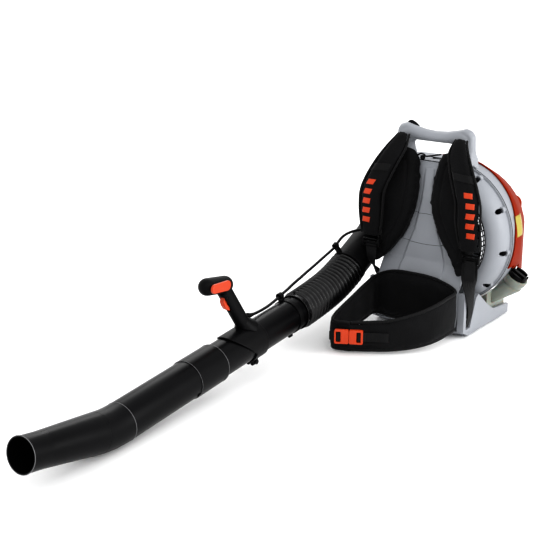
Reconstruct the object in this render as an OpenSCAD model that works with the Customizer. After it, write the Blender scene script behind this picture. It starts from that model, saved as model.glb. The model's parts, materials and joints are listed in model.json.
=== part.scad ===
// Backpack leaf blower with harness, engine pack and blow tube. Millimetres.
// Z is up, the wearer stands on the -Y side, the engine is on the +Y side and the blow tube on the -X side.
// The origin is on the ground, under the pack.

/* [Pack] */
// Height of the pack at the tips of the carry handle
pack_h = 500; // [480:1:520]
// Half the width of the base frame
base_half = 130; // [124:1:132]
// Depth of the base frame behind the origin
base_rear = 208; // [200:1:230]
// Half the width of the backplate at mid height
plate_half = 118; // [110:1:122]
// Wall thickness of the backplate
plate_wall = 7; // [5:0.5:8]

/* [Fan] */
// Height of the fan and crankshaft axis above the ground
fan_z = 223; // [218:1:226]
// Outer radius of the fan housing at its seam
fan_r = 183; // [180:0.5:184]
// Radius of the air intake in the front wall
eye_r = 85; // [75:1:95]
// Tip radius of the impeller
impeller_r = 118; // [105:1:120]
// Number of impeller blades
blades = 12; // [8:1:16]
// Depth position of the seam between the housing halves
seam_y = 89.5; // [88:0.5:91]

/* [Engine] */
// Cylinder bore radius
bore_r = 25; // [22:0.5:26]
// Piston stroke
stroke = 33; // [28:1:34]
// Radius of the engine shroud at its front edge
shroud_r = 187; // [186.5:0.5:188]
// Depth position of the rear wall of the engine shroud
shroud_rear = 235; // [230:1:240]
// Radius of the starter pulley where the rope leaves it
pulley_r = 24; // [20:1:26]

/* [Blow tube] */
// Side position of the blow tube, to the wearer's right
tube_x = -176; // [-180:1:-176]
// Outer radius of the elbow
elbow_r = 43; // [41:0.5:43]
// Outer radius of the pleated hose
hose_r = 46; // [44:0.5:46]
// Outer radius of the handle tube
handle_r = 39.2; // [36:0.1:40]
// Outer radius of the extension tube
extension_r = 41.8; // [41.5:0.1:42.5]
// Outer radius of the nozzle at its mouth
mouth_r = 35.4; // [33:0.1:38]
// Wall thickness of the tubes
tube_wall = 2; // [1.8:0.1:2.2]
// Downward slope of the handle and extension tubes, in degrees
tube_slope = 4.6; // [4:0.1:5]
// Upward pitch of the nozzle tip, in degrees
tip_pitch = 9.3; // [5:0.1:12]

/* [Harness] */
// Width of the shoulder straps
strap_w = 66; // [50:1:70]
// Thickness of the shoulder straps
strap_t = 14; // [8:1:16]
// Thickness of the back pads
pad_t = 24; // [15:1:28]
// Thickness of the hip belt
belt_t = 18; // [12:1:18]

/* [Hidden] */

$fn = 64;
eps = 0.01;
big = 400;
fit = 0.3;        // gap between pieces that slide or turn past each other
pin_fit = 0.05;   // gap round a pin in its hinge hole
light_grey = [0.76, 0.78, 0.80];
dark = [0.07, 0.07, 0.08];
signal = [0.86, 0.24, 0.05];
metal = [0.62, 0.63, 0.65];

// Fan housing
front_y = 34;                      // front wall of the fan housing
rear_y = 131;                      // rear wall of the fan housing
apron_y = 98;                      // front edge of the shroud's apron, behind the seam
apron_z = 152;                     // lower edge of the apron
cut_x = -129;                      // flat side of the housing beside the elbow
duct_z = 290;                      // underside of the outlet duct
duct_out = -218;                   // outer wall of the outlet duct
duct_front = 45;                   // front wall of the outlet duct
scroll_x = -85;                    // centre of the outer turn of the scroll
scroll_r = scroll_x - duct_out;    // radius of the outer turn
scroll_z = fan_z + fan_r - scroll_r;
shell = 3;

// Base and the foot of the backplate
base_rise = 18;                    // height of the base's front edge above the ground
plate_foot = 112;                  // half the width of the backplate where it stands in the base

// Engine
engine_y = 158;                    // depth position of the cylinder axis
crank_throw = stroke / 2;
rod_len = 55;
wrist_z = fan_z - crank_throw + rod_len;   // wrist pin with the piston at the bottom
piston_top = wrist_z + 16;
chamber_z = piston_top + stroke + 2;

// Elbow: a bend of this radius, from straight down to the hose's start slope
bend_r = 110;
bend_angle = 66;
elbow_y = 88;                      // depth position of the elbow's mouth on the duct
elbow_run = 119;                   // straight stretch after the bend
hose_slope = 90 - bend_angle;
hose_y0 = elbow_y - bend_r + bend_r * cos(bend_angle) - elbow_run * cos(hose_slope);
hose_z0 = duct_z - bend_r * sin(bend_angle) - elbow_run * sin(hose_slope);

// Pleated hose: two arcs of equal length
half_len = 122;
mid_slope = 9;
pleats = 9;                        // pleats in each half
hose_y1 = hose_y0 - arc_run(half_len, hose_slope, mid_slope);
hose_z1 = hose_z0 - arc_drop(half_len, hose_slope, mid_slope);
tube_y0 = hose_y1 - arc_run(half_len, mid_slope, tube_slope);
tube_z0 = hose_z1 - arc_drop(half_len, mid_slope, tube_slope);

// Stations along the straight tubes, measured from the end of the hose
handle_len = 420;
collar_s0 = 162;
collar_s1 = 270;
extension_s0 = 312;
nozzle_s0 = 613;
extension_len = nozzle_s0 - extension_s0;
nozzle_bend_r = 300;
tip_len = 196;
rim_len = 45;                      // cylindrical stretch behind the mouth

// Grip
grip_y = -520;
grip_z = 116;
grip_lean = 35;
grip_len = 132;
head_z = 234;
head_y0 = -592;
head_len = 62;
head_rise = 10;                    // the head climbs forwards by this angle
head_r = 19;
trigger_s = 118;                   // station of the trigger's pivot along the shaft
lever_x = tube_x + head_r + 0.8;
lever_y = -612;
lever_z = 241;

// Fuel filler neck: it leans outwards by this angle
neck_tilt = 30;
neck_at = [129, 153, 40];
flange_s = 90;

// Buckle: on the front of the hip belt, turned to lie along it
buckle_at = [-56, -270, 46];
buckle_turn = 26.6;

// Throttle cable routes, centre line points
cable_d = 7;
cable_pack_route = [[-122, 2, 217], [-131, 0, 219], [-143, -6, 224], [-154, -16, 227], [-166, -30, 228],
    [-177, -44, 227], [-186, -58, 224], [-193, -72, 219], [-197, -84, 212], [-199, -96, 203],
    [-200, -108, 195], [-200, -125, 190], [-200, -145, 185]];
cable_hose_route = [[-200, -145, 185], [-200, -165, 180], [-200, -185, 175], [-199, -205, 171],
    [-199, -235, 164], [-198, -262, 158]];
cable_tube_route = [[-198, -262.5, 157.9], [-198, -280, 154], [-198, -300, 149], [-197, -320, 144],
    [-197, -338, 140], [-196, -355, 136], [-196, -372, 132], [-195, -390, 129], [-195, -410, 126],
    [-194, -435, 125], [-192, -458, 126], [-189, -476, 128.5], [-186, -488, 131], [-184, -497.2, 133]];

// Run forwards and drop of an arc of length len whose slope goes from a to b degrees
function arc_r(len, a, b) = len / ((a - b) * PI / 180);
function arc_run(len, a, b) = arc_r(len, a, b) * (sin(a) - sin(b));
function arc_drop(len, a, b) = arc_r(len, a, b) * (cos(b) - cos(a));
// Points of an arc, from angle a to angle b in n steps
function arc_pts(cx, cy, r, a, b, n) = [for (i = [0 : n]) let (t = a + (b - a) * i / n)
    [cx + r * cos(t), cy + r * sin(t)]];
function unit(v) = v / norm(v);

// A prism along Y, its children drawn as (x, z)
module along_y(y0, y1) {
    translate([0, y1, 0]) rotate([90, 0, 0]) linear_extrude(y1 - y0) children();
}
// A prism along X, its children drawn as (y, z)
module along_x(x0, x1) {
    translate([x0, 0, 0]) rotate([90, 0, 90]) linear_extrude(x1 - x0) children();
}
// A body of revolution about the fan axis, its children drawn as (radius, y)
module about_fan() {
    translate([0, 0, fan_z]) rotate([-90, 0, 0]) rotate_extrude($fn = 96) children();
}
// A round bar or hole along Y
module rod_y(x, z, y0, y1, r) {
    translate([x, y0, z]) rotate([-90, 0, 0]) cylinder(r = r, h = y1 - y0);
}
// A round bar or hole along X
module rod_x(y, z, x0, x1, r) {
    translate([x0, y, z]) rotate([0, 90, 0]) cylinder(r = r, h = x1 - x0);
}
// A box given by its lowest and highest corners
module box(a, b) {
    translate(a) cube(b - a);
}
// A rectangle with round corners, given by its corners
module soft_rect(x0, y0, x1, y1, r) {
    translate([x0 + r, y0]) square([x1 - x0 - 2 * r, y1 - y0]);
    translate([x0, y0 + r]) square([x1 - x0, y1 - y0 - 2 * r]);
    for (x = [x0 + r, x1 - r], y = [y0 + r, y1 - r]) translate([x, y]) circle(r, $fn = 32);
}
// Children placed at distance s along the straight tubes, local Z forwards and local Y up
module on_tube(s) {
    translate([tube_x, tube_y0 - s * cos(tube_slope), tube_z0 - s * sin(tube_slope)])
        rotate([90 + tube_slope, 0, 0]) children();
}
// Children placed at distance s along a hose arc that starts at (y, z), slope a to b over len
module on_arc(y, z, a, b, len, s) {
    slope = a + (b - a) * s / len;
    translate([tube_x, y - arc_r(len, a, b) * (sin(a) - sin(slope)),
        z - arc_r(len, a, b) * (cos(slope) - cos(a))]) rotate([90 + slope, 0, 0]) children();
}
// A tube of outer radius r along local Z
module pipe(r, h, wall = tube_wall) {
    difference() {
        cylinder(r = r, h = h, $fn = 96);
        translate([0, 0, -1]) cylinder(r = r - wall, h = h + 2, $fn = 96);
    }
}
// A cable swept along the points of a route
module cable(route, d) {
    sides = 8;
    last = len(route) - 1;
    rings = [for (i = [0 : last]) let (
        t = unit(route[min(i + 1, last)] - route[max(i - 1, 0)]),
        side = unit(cross(t, [0, 0, 1])), up = cross(side, t))
        for (k = [0 : sides - 1]) route[i] + d / 2 * (side * cos(k * 360 / sides) + up * sin(k * 360 / sides))];
    walls = [for (i = [0 : last - 1], k = [0 : sides - 1]) let (n = (k + 1) % sides)
        [i * sides + k, i * sides + n, (i + 1) * sides + n, (i + 1) * sides + k]];
    caps = [[for (k = [sides - 1 : -1 : 0]) k], [for (k = [0 : sides - 1]) last * sides + k]];
    polyhedron(rings, concat(walls, caps));
}
// A round-ended bar from the origin along local Z
module capsule(r, len) {
    rotate_extrude() polygon(concat([[0, -r]], arc_pts(0, 0, r, -80, 0, 6), arc_pts(0, len, r, 0, 80, 6),
        [[0, len + r]]));
}
// A strap through stations [x, y, z, width, turn], its width turned about Z from the X axis
module ribbon(stations, t) {
    for (i = [0 : len(stations) - 2]) hull() for (s = [stations[i], stations[i + 1]])
        translate([s[0], s[1], s[2]]) rotate([0, 0, s[4]]) rotate([0, 90, 0])
            cylinder(d = t, h = s[3], center = true, $fn = 16);
}

// ---- Structure ----

// Side view of the backplate: the front face, then the rear face
plate_front = [[6, pack_h], [4, 420], [-8, 330], [-8, 250], [-14, 172], [-50, 120], [-50, 22]];
module plate_profile() {
    polygon(concat(plate_front, [for (i = [len(plate_front) - 1 : -1 : 1])
        plate_front[i] + [plate_wall, -0.3 * plate_wall]], [[42, 400], [42, pack_h]]));
}
// Front view of the backplate, with the arched carry handle at the top
module plate_outline() {
    right = [[106, 20], [plate_foot, 60], [plate_foot, 170], [plate_half, 200], [plate_half, 300], [112, 380],
        [105, 420], [102, 484], [94, 495], [79, pack_h], [58, 494], [30, 488]];
    polygon(concat(right, [[0, 486]], [for (i = [len(right) - 1 : -1 : 0]) [-right[i][0], right[i][1]]]));
}
module backplate() {
    color(light_grey) {
        difference() {
            intersection() {
                along_x(-140, 140) plate_profile();
                along_y(-80, 60) plate_outline();
            }
            along_y(-20, 60) hull() {
                translate([-46, 426]) circle(12);
                translate([46, 426]) circle(12);
                translate([-50, 452]) circle(8);
                translate([50, 452]) circle(8);
            }
            box([-92, 16, 300], [92, 60, 408]);
            box([-big, 20, 300], [big, 60, 404]);
            for (x = [-45, 45]) rod_y(x, 372, -30, 30, 4);
        }
        // raised column between the pads
        intersection() {
            along_x(-60, 60) polygon([[-1, 405], [-14, 330], [-14, 250], [-19, 175], [-44, 135], [-30, 135],
                [-8, 172], [-3, 250], [-3, 330], [7, 405]]);
            along_y(-60, 20) polygon([[-11, 400], [11, 400], [13, 330], [30, 250], [48, 200], [58, 160],
                [58, 140], [-58, 140], [-58, 160], [-48, 200], [-30, 250], [-13, 330]]);
        }
        // gland where the throttle cable enters
        box([-121, -6, 208], [-108, 10, 226]);
    }
}

// Side wall of the base: leg, strap recess, ear and tail
module ear_profile() {
    polygon([[-50, base_rise], [-50, 120], [-38, 120], [-36, 24], [-14, 24], [14, 92], [28, 99], [85, 55],
        [118, 36], [base_rear, 25], [base_rear, 2], [120, 2]]);
}
module base_frame() {
    color(light_grey) difference() {
        union() {
            along_x(base_half - 8, base_half) ear_profile();
            along_x(-base_half, -base_half + 8) ear_profile();
            // floor of the tray, its front edge lifted clear of the ground
            along_x(-base_half + 16, base_half - 16) polygon([[-14, 0], [base_rear - 1, 0], [base_rear - 1, 8],
                [-12, 8], [-44, base_rise + 1.8], [-49, base_rise + 1.8], [-49, base_rise]]);
            for (x = [-base_half + 3, base_half - 18]) along_x(x, x + 15) polygon([[-48, base_rise + 1],
                [-15, 3], [base_rear - 2, 3], [base_rear - 2, 10], [120, 10], [-48, base_rise + 8]]);
            for (x = [-base_half + 2, plate_foot + 0.3]) box([x, -49.5, base_rise + 2],
                [x + base_half - plate_foot - 2.3, -39, 117]);
            box([-base_half + 1, base_rear - 7, 4], [base_half - 1, base_rear - 0.5, 24]);
            for (x = [-70, 70]) translate([x, 68, 8]) cylinder(r = 15, h = 6);
        }
        foot_pads(0.5);
        for (x = [-70, 70]) translate([x, 68, -1]) cylinder(r = 4, h = 30);
    }
}
// Places of the four feet, flush with the underside
module foot_pads(gap) {
    for (x = [-94, 94], y = [6, 184]) translate([x, y, gap > 0 ? -1 : 0])
        cylinder(r = 14 + gap, h = gap > 0 ? 6 : 5);
}
module rubber_feet() {
    color(dark) foot_pads(0);
}
module vibration_mounts() {
    color(dark) {
        for (x = [-45, 45]) rod_y(x, 372, 10, 29, 11);
        for (x = [-70, 70]) translate([x, 68, 14]) cylinder(r = 13, h = 38);
    }
}
module intake_grille() {
    grille_r = 138;
    bars = 72;
    side_x = -131;   // flat side, beside the elbow
    side_half = sqrt(pow(grille_r, 2) - pow(side_x, 2));
    color(dark) {
        difference() {
            union() {
                for (y = [11, 22, 31]) about_fan() translate([grille_r - 4, y]) square([4, 3]);
                for (i = [0 : bars - 1]) translate([0, 0, fan_z]) rotate([0, i * 360 / bars, 0])
                    translate([grille_r - 3, 12, -1.4]) cube([2.4, 20, 2.8]);
                // front face: cross bars
                for (i = [-6 : 6]) let (z = i * 20, half = sqrt(pow(grille_r - 2, 2) - z * z))
                    box([-half, 11, fan_z + z - 1.5], [half, 14, fan_z + z + 1.5]);
            }
            box([-big, 0, 0], [side_x, 60, big]);
        }
        box([side_x - 2, 11, fan_z - side_half], [side_x + 0.5, 34, fan_z + side_half]);
    }
}

// ---- Fan housing ----

// Outline of the scroll with its outlet, grown by e
module scroll(e = 0) {
    difference() {
        translate([0, fan_z]) circle(fan_r + e, $fn = 160);
        translate([-big, -big]) square([big + cut_x - e, big + duct_z]);
    }
    intersection() {
        translate([scroll_x, scroll_z]) circle(scroll_r + e, $fn = 160);
        translate([-big, duct_z]) square([big, big]);
    }
    translate([scroll_x, duct_z]) square([-scroll_x, fan_z + fan_r + e - duct_z]);
    if (scroll_z > duct_z) translate([duct_out - e, duct_z]) square([100, scroll_z - duct_z]);
}
// Solid form of the front half: flat face, domed shoulder and flange, shrunk by e
module front_form(e) {
    top = seam_y - 1;
    intersection() {
        about_fan() polygon(concat([[0, front_y + e]], [for (i = [0 : 8]) let (t = 90 * i / 8)
            [137 - e + (178 - 137) * sin(t), 85 - (85 - front_y - e) * cos(t)]],
            [[fan_r - e, 86], [fan_r - e, top + eps], [0, top + eps]]));
        along_y(0, 120) scroll(-e);
    }
    along_y(duct_front + e, top + eps) intersection() {
        scroll(-e);
        translate([-big, 240]) square([big - 40, big]);
    }
}
screw_angles = [-62, -40, -8, 27, 58, 90];
screw_ring = 173;
module at_screws() {
    for (a = screw_angles) translate([screw_ring * cos(a), 0, fan_z + screw_ring * sin(a)]) children();
}
module housing_front() {
    color(light_grey) difference() {
        union() {
            difference() {
                front_form(0);
                translate([0, eps, 0]) front_form(shell);
            }
            at_screws() rod_y(0, 0, 72, seam_y - 1, 9);
            for (x = [-45, 45]) rod_y(x, 372, 29, 60, 12);
            for (x = [-70, 70]) box([x - 16, 52, 52], [x + 16, 84, 84]);
        }
        rod_y(0, fan_z, 0, 60, eye_r);
        at_screws() {
            rod_y(0, 0, 40, 72, 6.6);
            rod_y(0, 0, 60, 100, 2.6);
        }
        // keeps the air space free of the mounting blocks
        intersection() {
            translate([0, eps, 0]) front_form(shell);
            rod_y(0, fan_z, 30, 120, 160);
        }
        // mouth of the outlet
        translate([tube_x, elbow_y, duct_z - 20]) cylinder(r = elbow_r - tube_wall, h = 60);
    }
}
module housing_rear() {
    y0 = seam_y + 1;
    color(light_grey) difference() {
        union() {
            difference() {
                along_y(y0, rear_y) scroll();
                along_y(y0 - 1, rear_y - shell) scroll(-shell);
            }
            at_screws() rod_y(0, 0, y0, 104, 8);
        }
        rod_y(0, fan_z, 100, 140, 16);
        at_screws() rod_y(0, 0, 60, 100, 2.6);
        translate([tube_x, elbow_y, duct_z - 20]) cylinder(r = elbow_r - tube_wall, h = 60);
    }
}
module housing_seal() {
    color(dark) along_y(seam_y - 1 + 2 * eps, seam_y + 1) difference() {
        scroll(0.8);
        scroll(-shell);
    }
}
module housing_screws() {
    color(dark) at_screws() {
        rod_y(0, 0, 66, 72, 6);
        rod_y(0, 0, 72, 99, 2.5);
    }
}
module impeller() {
    color(dark) {
        about_fan() polygon([[10, 60], [22, 60], [30, 100], [impeller_r, 112], [impeller_r, 115],
            [10, 115]]);
        translate([0, 0, fan_z]) for (i = [0 : blades - 1]) rotate([0, i * 360 / blades, 0])
            along_y(60, 113) difference() {
                intersection() {
                    translate([70, 40]) circle(62);
                    circle(impeller_r);
                }
                translate([71, 37]) circle(60);
                circle(62);
                translate([-big, -big / 2]) square([big, big]);
            }
        about_fan() translate([90, 52]) square([impeller_r - 90, 3]);
        about_fan() translate([90, 52]) square([3, 9]);
    }
}

// ---- Engine ----

module crankcase() {
    color(metal) difference() {
        union() {
            box([-46, rear_y, fan_z - 45], [46, 185, fan_z + 28]);
            rod_y(0, fan_z, rear_y, 186, 45);
        }
        box([-60, rear_y - 1, fan_z + 28], [60, 200, fan_z + 60]);
        rod_y(0, fan_z, 145, 171, 33);
        rod_y(0, fan_z, rear_y - 1, 200, 10 + pin_fit);
        translate([0, engine_y, fan_z]) cylinder(r = bore_r, h = 60);
    }
}
module cylinder_block() {
    z0 = fan_z + 28;
    fins = 8;
    color(metal) difference() {
        union() {
            translate([0, engine_y, z0]) cylinder(r = 31, h = chamber_z + 14 - z0);
            for (i = [0 : fins - 1]) translate([0, engine_y, z0 + 12 + i * 9]) cylinder(r = 42, h = 3);
            box([-58, engine_y - 16, 272], [-28, engine_y + 16, 304]);
            box([28, engine_y - 18, 262], [50, engine_y + 18, 298]);
        }
        translate([0, engine_y, z0 - 1]) cylinder(r = bore_r, h = chamber_z - z0 + 1);
        rod_x(engine_y, 288, -70, -20, 11);
        rod_x(engine_y, 280, 20, 60, 11);
        plug_frame() translate([0, 0, -5]) cylinder(r = 5, h = 60);
        plug_frame() translate([0, 0, 20]) cylinder(r = 10, h = 60);
        // flat front and back, clear of the fan housing and the flywheel
        box([-60, 100, z0 - 1], [60, rear_y + 0.5, big]);
        box([-60, 185.5, z0 - 1], [60, 220, big]);
    }
}
// Frame of the spark plug: leans back from the combustion chamber
module plug_frame() {
    translate([0, engine_y, chamber_z]) rotate([-50, 0, 0]) children();
}
module spark_plug() {
    color(metal) plug_frame() {
        translate([0, 0, 3]) cylinder(r = 4.9, h = 18);
        translate([0, 0, 20.5]) cylinder(r = 8, h = 6);
        translate([0, 0, 26]) cylinder(r = 4.5, h = 12);
    }
}
module plug_boot() {
    color(dark) plug_frame() difference() {
        translate([0, 0, 27]) cylinder(r = 7.5, h = 20);
        translate([0, 0, 26]) cylinder(r = 4.6, h = 12.5);
    }
}
module crankshaft() {
    color(metal) {
        rod_y(0, fan_z, 56, 153, 10);
        rod_y(0, fan_z, 163, 206, 10);
        rod_y(0, fan_z, 147, 153, 30);
        rod_y(0, fan_z, 163, 169, 30);
    }
}
module flywheel() {
    color(metal) difference() {
        union() {
            rod_y(0, fan_z, 188, 204, 46);
            for (i = [0 : 11]) translate([0, 0, fan_z]) rotate([0, i * 30, 0])
                box([26, 204 - eps, -1.5], [46, 214, 1.5]);
        }
        rod_y(0, fan_z, 180, 210, 10.02);
    }
}
module piston() {
    color(metal) difference() {
        translate([0, engine_y, wrist_z - 12]) cylinder(r = bore_r - 0.1, h = piston_top - wrist_z + 12);
        translate([0, engine_y, wrist_z - 13]) cylinder(r = bore_r - 5, h = 22);
        rod_x(engine_y, wrist_z, -30, 30, 5.5);
    }
}
module connecting_rod() {
    z0 = fan_z - crank_throw;
    color(metal) difference() {
        union() {
            rod_y(0, z0, 154, 162, 12);
            rod_y(0, wrist_z, 154, 162, 9);
            box([-5, 155, z0], [5, 161, wrist_z]);
        }
        rod_y(0, z0, 150, 166, 8);
        rod_y(0, wrist_z, 150, 166, 5.5);
    }
    color(metal) rod_x(engine_y, wrist_z, -23, 23, 5.4);
}
module muffler() {
    color(metal) difference() {
        box([-116, 142, 242], [-60, 202, 308]);
        rod_x(engine_y, 288, -90, -50, 11);
        rod_y(-88, 262, 190, 210, 8);
    }
}
module muffler_guard() {
    color(dark) difference() {
        box([-124, 135, 234], [-55, 212, 318]);
        box([-121.5, 130, 236.5], [-50, 209.5, 315.5]);
        rod_y(0, fan_z, 180, 220, 62.5);
        for (i = [0 : 6]) box([-114, 200, 246 + i * 10], [-64, 220, 251 + i * 10]);
    }
}
module carburetor() {
    color(metal) difference() {
        union() {
            box([51, 140, 262], [98, 178, 298]);
            rod_y(90, 276, 178, 199.5, 14);
        }
        rod_x(engine_y, 280, 45, 80, 11);
        rod_y(90, 276, 160, 210, 11);
    }
}
module filter_element() {
    color([0.75, 0.68, 0.5]) along_y(200, 236) soft_rect(77, 226, 119, 290, 8);
}
module filter_cover() {
    color(signal) difference() {
        along_y(216, 262) soft_rect(68, 219, 128, 296, 20);
        along_y(210, 258) soft_rect(71, 222, 125, 293, 17);
        rod_y(98, 258, 250, 270, 5 + pin_fit);
    }
}
module filter_knob() {
    color(dark) {
        rod_y(98, 258, 262.3, 273, 15);
        rod_y(98, 258, 250, 263, 5);
        box([84, 272, 255], [112, 277, 261]);
    }
}
// Solid form of the shroud, shrunk by e: a round front that narrows to a flat-sided rear
module shroud_form(e) {
    hull() {
        along_y(apron_y - (e > 0 ? 1 : 0), rear_y + 4) intersection() {
            translate([0, fan_z]) circle(shroud_r - e, $fn = 64);
            translate([-125 + e, 118 - e]) square([big, big]);
        }
        along_y(198, 200) shroud_back(161 - e, 157 - e, e);
        along_y(shroud_rear - 12 - e, shroud_rear - 10 - e) shroud_back(156 - e, 154 - e, e);
        along_y(shroud_rear - 2 - e, shroud_rear - e) shroud_back(148 - e, 146 - e, e);
    }
}
module shroud_back(r, side, e) {
    intersection() {
        translate([0, 216]) circle(r, $fn = 48);
        translate([-125 + e, 118 - e]) square([125 + side, big]);
    }
    translate([0, 118 - e]) square([side, 98 + e]);
}
module engine_shroud() {
    color(signal) difference() {
        shroud_form(0);
        shroud_form(3);
        along_y(0, rear_y + 0.2) scroll(0.4);
        box([-big, 0, 0], [20, rear_y + 0.2, 500]);
        // front edge of the apron, slanting back towards the top
        along_x(-big, big) polygon([[0, 0], [rear_y + 0.2, 0], [rear_y + 0.2, apron_z], [apron_y + 1, apron_z],
            [apron_y + 1, fan_z + 10], [122, fan_z + 100], [rear_y + 0.2, fan_z + 160], [rear_y + 0.2, 500],
            [0, 500]]);
        box([-big, 100, 100], [-50, 250, 322]);
        box([-60, 100, 100], [40, 250, fan_z - 30]);
        translate(neck_at) rotate([0, neck_tilt, 0]) translate([0, 0, 50]) cylinder(r = 30, h = 60);
        rod_y(0, fan_z, 200, 250, 63);
        along_y(210, 250) soft_rect(67, 214, 129, 302, 15);
        rod_y(100, 190, 200, 250, 4 + pin_fit);
        rod_y(76, 152, 200, 250, 11.3);
    }
}
module choke_lever() {
    color(dark) {
        rod_y(100, 190, 226, 240, 4);
        rod_y(100, 190, 236, 243, 9);
        box([98, 237, 192], [127, 243, 200]);
    }
}
module primer_bulb() {
    color(dark) {
        rod_y(76, 152, 230, 240, 11);
        translate([76, 240, 152]) intersection() {
            sphere(11);
            box([-20, 0, -20], [20, 9, 20]);
        }
    }
}
module starter_housing() {
    color(dark) difference() {
        union() {
            rod_y(0, fan_z, 186.5, 258, 62);
            translate([-26.5, 244, fan_z + 50]) cylinder(r = 8, h = 16);
        }
        difference() {
            rod_y(0, fan_z, 180, 255, 59);
            rod_y(0, fan_z, 235, 256, 5);
        }
        translate([-26.5, 244, fan_z]) cylinder(r = 3, h = 90);
        for (i = [-3 : 3]) box([i * 13 - 3, 250, fan_z - 42], [i * 13 + 3, 262, fan_z - 20]);
    }
}
module starter_pulley() {
    color(dark) difference() {
        union() {
            rod_y(0, fan_z, 237, 251, pulley_r);
            rod_y(0, fan_z, 237, 239.5, 32);
            rod_y(0, fan_z, 248.5, 251, 32);
        }
        rod_y(0, fan_z, 230, 254, 5 + pin_fit);
    }
}
module starter_rope() {
    color([0.85, 0.85, 0.82]) translate([-26.5, 244, fan_z]) cylinder(r = 2, h = 70);
}
module starter_grip() {
    color(dark) translate([-26.5, 247, 300]) difference() {
        union() {
            rotate([0, 90, 0]) cylinder(r = 10, h = 44, center = true);
            for (x = [-22, 22]) translate([x, 0, 0]) sphere(10);
        }
        translate([0, -3, -12]) cylinder(r = 2.4, h = 8);
    }
}
module fuel_tank() {
    tank_half = base_half - 9.5;
    color([0.82, 0.83, 0.80]) difference() {
        union() {
            difference() {
                box([-tank_half, 97, 12.5], [tank_half, 200.8, 96]);
                rod_y(0, fan_z, 90, 210, fan_r + 5);
            }
            intersection() {
                neck();
                box([60, 90, 40], [big, 210, big]);
            }
        }
        difference() {
            box([-tank_half + 3, 100, 15.5], [tank_half - 3, 197.8, 93]);
            rod_y(0, fan_z, 90, 210, fan_r + 8);
        }
        translate(neck_at) rotate([0, neck_tilt, 0]) translate([0, 0, 10]) cylinder(r = 20, h = 100);
    }
}
// Filler neck, from the shoulder of the tank to its round flange
module neck() {
    translate(neck_at) rotate([0, neck_tilt, 0]) {
        hull() {
            translate([-28, -30, 4]) cube([20, 60, 20]);
            translate([0, 0, 62]) cylinder(r = 26, h = 4, $fn = 32);
        }
        translate([0, 0, 64]) cylinder(r1 = 24, r2 = 29, h = 16);
        translate([0, 0, 80]) cylinder(r = 29, h = flange_s - 80);
    }
}
module fuel_cap() {
    color(dark) translate(neck_at) rotate([0, neck_tilt, 0]) difference() {
        union() {
            translate([0, 0, flange_s + fit]) cylinder(r = 25, h = 12);
            translate([0, 0, flange_s - 14]) cylinder(r = 20 - fit, h = 20);
        }
        for (y = [-1, 1]) translate([-19, y * 12 - 7, flange_s + 5]) cube([38, 14, 12]);
    }
}

// ---- Blow tube ----

module elbow() {
    color(dark) {
        translate([tube_x, elbow_y - bend_r, duct_z]) rotate([-90, 0, 90])
            rotate_extrude(angle = bend_angle, $fn = 96) translate([bend_r, 0]) difference() {
                circle(elbow_r);
                circle(elbow_r - tube_wall);
            }
        translate([tube_x, hose_y0, hose_z0]) rotate([90 + hose_slope, 0, 0])
            translate([0, 0, -elbow_run]) pipe(elbow_r, elbow_run - 0.5);
    }
}
// Half of the hose: a curved tube of slope a to b, with pleats out to radius hose_r
module pleated_arc(y, z, a, b) {
    pitch = half_len / pleats;
    radius = arc_r(half_len, a, b);
    translate([tube_x, y - radius * sin(a), z + radius * cos(a)]) rotate([b - 90, 0, 0])
        rotate([90, 0, 90]) rotate_extrude(angle = a - b, $fn = 96) translate([radius, 0]) difference() {
            circle(hose_r - 6);
            circle(hose_r - 8);
        }
    for (i = [0 : pleats - 1]) on_arc(y, z, a, b, half_len, (i + 0.5) * pitch)
        rotate_extrude() polygon([[hose_r - 7, -pitch * 0.42], [hose_r, -pitch * 0.2],
            [hose_r, pitch * 0.2], [hose_r - 7, pitch * 0.42]]);
}
module bellows_rear() {
    color(dark) pleated_arc(hose_y0, hose_z0, hose_slope, mid_slope);
}
module bellows_front() {
    color(dark) pleated_arc(hose_y1, hose_z1, mid_slope, tube_slope);
}
// A band clamp with its screw below and a cable clip above, turned by lean about the tube
module clamp(r, w, clip_r, lean) {
    difference() {
        union() {
            cylinder(r = r + 2, h = w);
            translate([-7, -r - 12, 0]) cube([14, 14, w]);
            rotate([0, 0, lean]) translate([-5, r, 1]) cube([10, clip_r - r, w - 2]);
            rotate([0, 0, lean]) translate([0, clip_r, 1]) cylinder(r = 8, h = w - 2);
        }
        translate([0, 0, -1]) cylinder(r = r, h = w + 2);
        translate([-2, -r - 13, -1]) cube([4, 16, w + 2]);
        rotate([0, 0, lean]) translate([0, clip_r, -1]) cylinder(r = cable_d / 2 + 1.5, h = w + 2);
    }
}
module hose_clamp_rear() {
    color(dark) translate([tube_x, hose_y0, hose_z0]) rotate([90 + hose_slope, 0, 0])
        translate([0, 0, -13]) clamp(elbow_r + 0.05, 12, 63.7, 22);
}
module hose_clamp_front() {
    color(dark) on_tube(18) clamp(handle_r + 0.05, 14, 51, 23.5);
}
module handle_tube() {
    color(dark) on_tube(0.5) pipe(handle_r, handle_len);
}
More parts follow.
